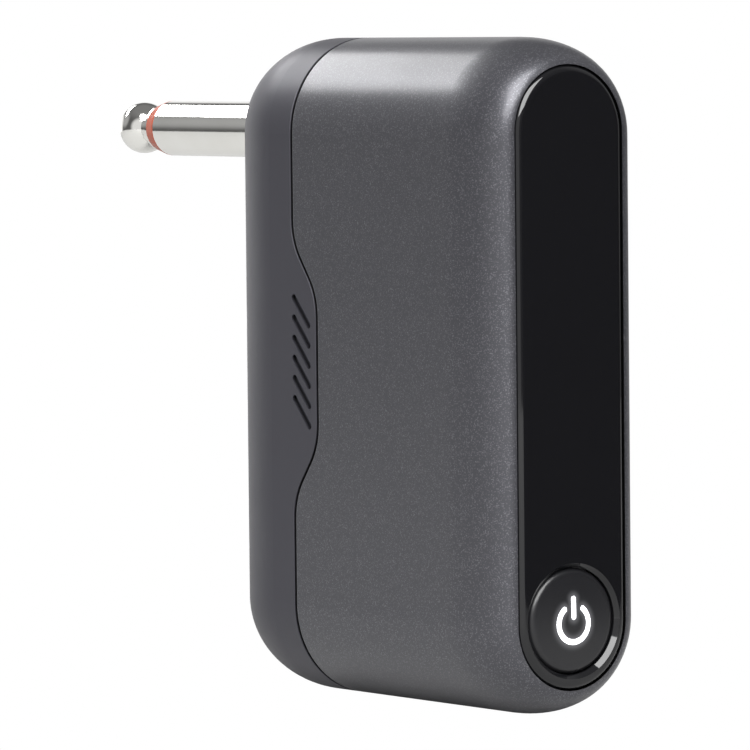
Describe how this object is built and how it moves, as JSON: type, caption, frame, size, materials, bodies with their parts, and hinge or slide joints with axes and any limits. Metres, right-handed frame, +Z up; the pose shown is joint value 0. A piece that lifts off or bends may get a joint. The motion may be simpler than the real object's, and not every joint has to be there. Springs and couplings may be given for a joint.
{
  "type": "wireless guitar transmitter",
  "caption": "Slim upright wireless transmitter with a glossy front panel, a lit power button and a 6.35 mm jack plug at the top of its back.",
  "frame": {"origin": "centre of the jack plug's shoulder face, on the plug's axis", "axes": "+Y along the plug towards its tip, +Z up, the front panel and the power button look along -Y"},
  "size_m": [0.021, 0.085, 0.0731],
  "materials": {
    "shell_paint": "dark grey metallic lacquer over moulded plastic, satin, with fine flake",
    "cover_soft": "charcoal soft-touch coating, matte",
    "panel_gloss": "piano black, polished",
    "button_plastic": "dark grey, satin",
    "symbol_light": "milky light guide, lit",
    "adhesive": "double-sided tape",
    "foam": "fine closed-cell foam",
    "switch_black": "moulded, matte",
    "switch_white": "moulded, satin",
    "led_body": "clear resin over phosphor",
    "circuit_board": "solder mask over glass fibre",
    "chip_black": "epoxy moulding",
    "shield_tin": "tinned, satin",
    "antenna_ceramic": "fired, satin",
    "usb_steel": "drawn, satin",
    "frame_plastic": "glass-filled nylon, matte",
    "battery_foil": "laminated foil pouch, satin",
    "connector_nylon": "nylon, satin",
    "wire_red": "silicone insulation",
    "plug_nickel": "polished nickel plate",
    "insulator_orange": "moulded, satin",
    "core_white": "moulded nylon",
    "lug_tin": "tinned brass, satin",
    "screw_steel": "blackened zinc"
  },
  "bodies": {
    "housing": {"front_shell": "shell_paint", "rear_cover": "cover_soft", "front_panel": "panel_gloss", "panel_adhesive": "adhesive", "button_stop_ring": "foam", "power_switch": "switch_black", "indicator_leds": "led_body", "main_board": "circuit_board", "rf_shield": "shield_tin", "board_chips": "chip_black", "chip_antenna": "antenna_ceramic", "usb_socket": "usb_steel", "usb_tongue": "switch_black", "inner_frame": "frame_plastic", "battery": "battery_foil", "battery_foam": "foam", "battery_connector": "connector_nylon", "battery_leads": "wire_red", "plug_sleeve": "plug_nickel", "plug_core_insulator": "core_white", "plug_ring": "insulator_orange", "plug_tip": "plug_nickel", "plug_washer": "screw_steel", "sleeve_lug": "lug_tin", "plug_nut": "lug_tin", "tip_lug": "lug_tin", "tip_lead": "wire_red", "ground_lead": "switch_black", "case_screws": "screw_steel", "frame_screws": "screw_steel", "board_screws": "screw_steel"},
    "button": {"power_button": "button_plastic", "power_icon": "symbol_light"},
    "plunger": {"switch_plunger": "switch_white"}
  },
  "joints": [
    {"name": "button_press", "type": "slide", "parent": "housing", "child": "button", "axis": [0, 1, 0], "range_m": [0, 0.0003], "stiffness_N_per_m": 1200},
    {"name": "switch_press", "type": "slide", "parent": "housing", "child": "plunger", "axis": [0, 1, 0], "range_m": [0, 0.0003]}
  ],
  "couplings": [
    {"joint": "switch_press", "follows": "button_press", "ratio": 1}
  ]
}
